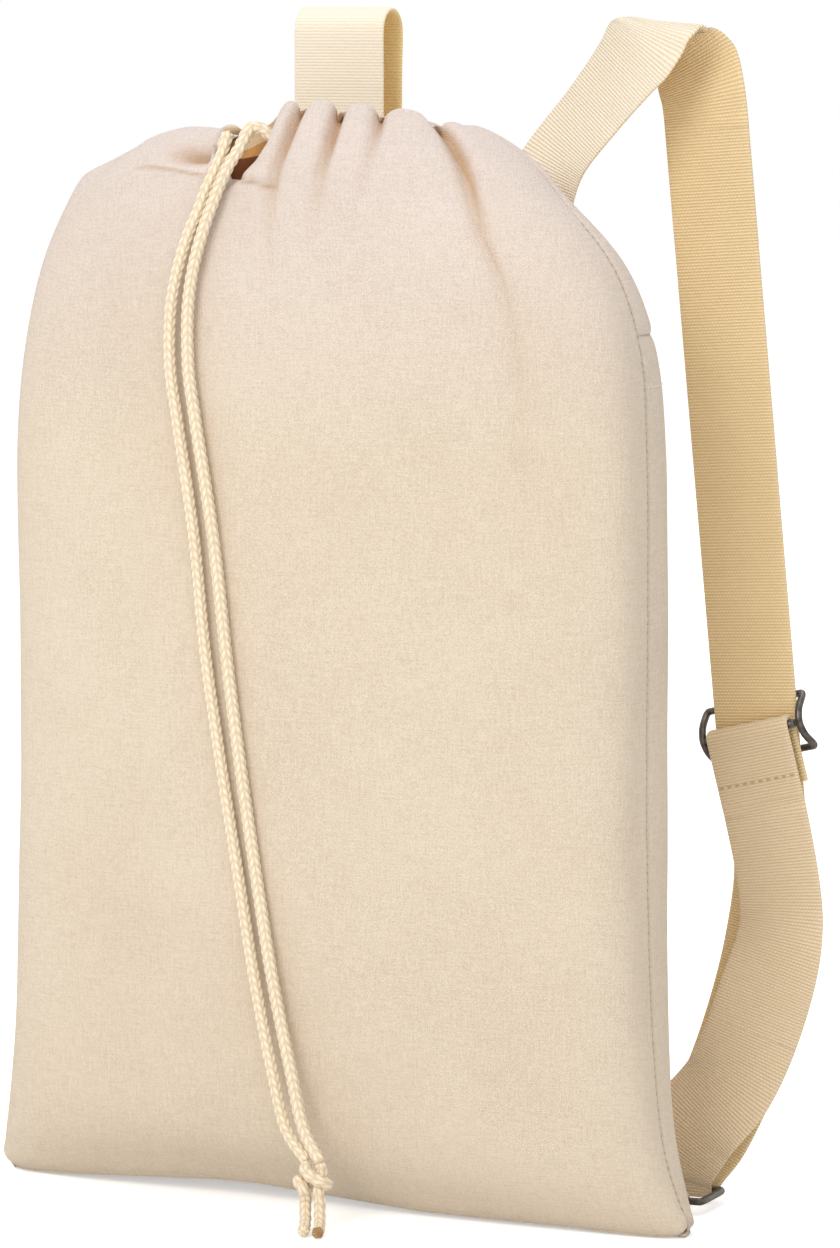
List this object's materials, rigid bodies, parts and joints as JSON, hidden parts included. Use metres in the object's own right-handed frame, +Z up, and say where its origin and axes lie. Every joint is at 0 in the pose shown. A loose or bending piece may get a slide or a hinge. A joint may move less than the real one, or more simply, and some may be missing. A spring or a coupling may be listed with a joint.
{
  "type": "drawstring backpack",
  "caption": "Stuffed canvas drawstring bag that stands on its base, with a corded gathered mouth, a webbing hang loop and adjustable webbing shoulder straps on metal sliders and rings.",
  "frame": {"origin": "centre of the flat base that the bag stands on", "axes": "+Z up, front panel with the drawcord towards -Y, back panel with the straps towards +Y, +X to the right seen from the front"},
  "size_m": [0.3334, 0.1643, 0.484],
  "materials": {
    "canvas": "undyed cotton canvas, matte",
    "webbing": "ribbed cotton webbing, matte",
    "cord": "braided cotton, matte",
    "gunmetal": "dark plated wire, satin"
  },
  "bodies": {
    "bag": {"front_panel": "canvas", "back_panel": "canvas", "back_yoke": "canvas", "casing_front": "canvas", "casing_back": "canvas", "side_seam_left": "canvas", "side_seam_right": "canvas", "bottom_seam": "canvas", "hang_loop_base": "webbing", "strap_base_left": "webbing", "strap_base_right": "webbing", "ring_tab_left": "webbing", "ring_tab_right": "webbing", "drawcord_loop": "cord", "drawcord_left_run": "cord", "drawcord_right_run": "cord"},
    "hang_loop_body": {"hang_loop": "webbing"},
    "right_strap": {"strap_top_right": "webbing", "strap_run_right": "webbing", "strap_loop_right": "webbing"},
    "right_slider": {"slider_frame_right": "gunmetal", "slider_bar_right": "gunmetal", "strap_fold_right": "webbing"},
    "right_ring_body": {"ring_right": "gunmetal"},
    "left_strap": {"strap_top_left": "webbing", "strap_run_left": "webbing", "strap_loop_left": "webbing"},
    "left_slider": {"slider_frame_left": "gunmetal", "slider_bar_left": "gunmetal", "strap_fold_left": "webbing"},
    "left_ring_body": {"ring_left": "gunmetal"},
    "cord_end": {"drawcord_knot": "cord", "drawcord_left_tail": "cord", "drawcord_right_tail": "cord"}
  },
  "joints": [
    {"name": "hang_loop_fold", "type": "hinge", "parent": "bag", "child": "hang_loop_body", "pos_m": [-0.02, 0.0436, 0.3833], "axis": [1, 0, 0], "range_deg": [-80, 0]},
    {"name": "strap_right_swing", "type": "hinge", "parent": "bag", "child": "right_strap", "pos_m": [0.06, 0.0395, 0.3833], "axis": [-0.1486, -0.0665, 0.9867], "range_deg": [-30, 40], "deforming": ["strap_top_right", "strap_loop_right"]},
    {"name": "slider_right_slide", "type": "slide", "parent": "right_strap", "child": "right_slider", "axis": [-0.0833, -0.0349, 0.9959], "range_m": [-0.01, 0.15]},
    {"name": "ring_right_turn", "type": "hinge", "parent": "bag", "child": "right_ring_body", "pos_m": [0.117, 0.041, 0.0052], "axis": [1, 0, 0], "range_deg": [0, 60]},
    {"name": "strap_left_swing", "type": "hinge", "parent": "bag", "child": "left_strap", "pos_m": [-0.084, 0.0385, 0.3833], "axis": [0.0867, -0.0697, 0.9938], "range_deg": [-40, 30], "deforming": ["strap_top_left", "strap_loop_left"]},
    {"name": "slider_left_slide", "type": "slide", "parent": "left_strap", "child": "left_slider", "axis": [0.0993, -0.0648, 0.9929], "range_m": [-0.01, 0.13]},
    {"name": "ring_left_turn", "type": "hinge", "parent": "bag", "child": "left_ring_body", "pos_m": [-0.117, 0.041, 0.0052], "axis": [1, 0, 0], "range_deg": [0, 60]},
    {"name": "drawcord_pull", "type": "slide", "parent": "bag", "child": "cord_end", "axis": [0, 0, 1], "range_m": [0, 0.1], "deforming": ["drawcord_left_run", "drawcord_right_run"]}
  ]
}
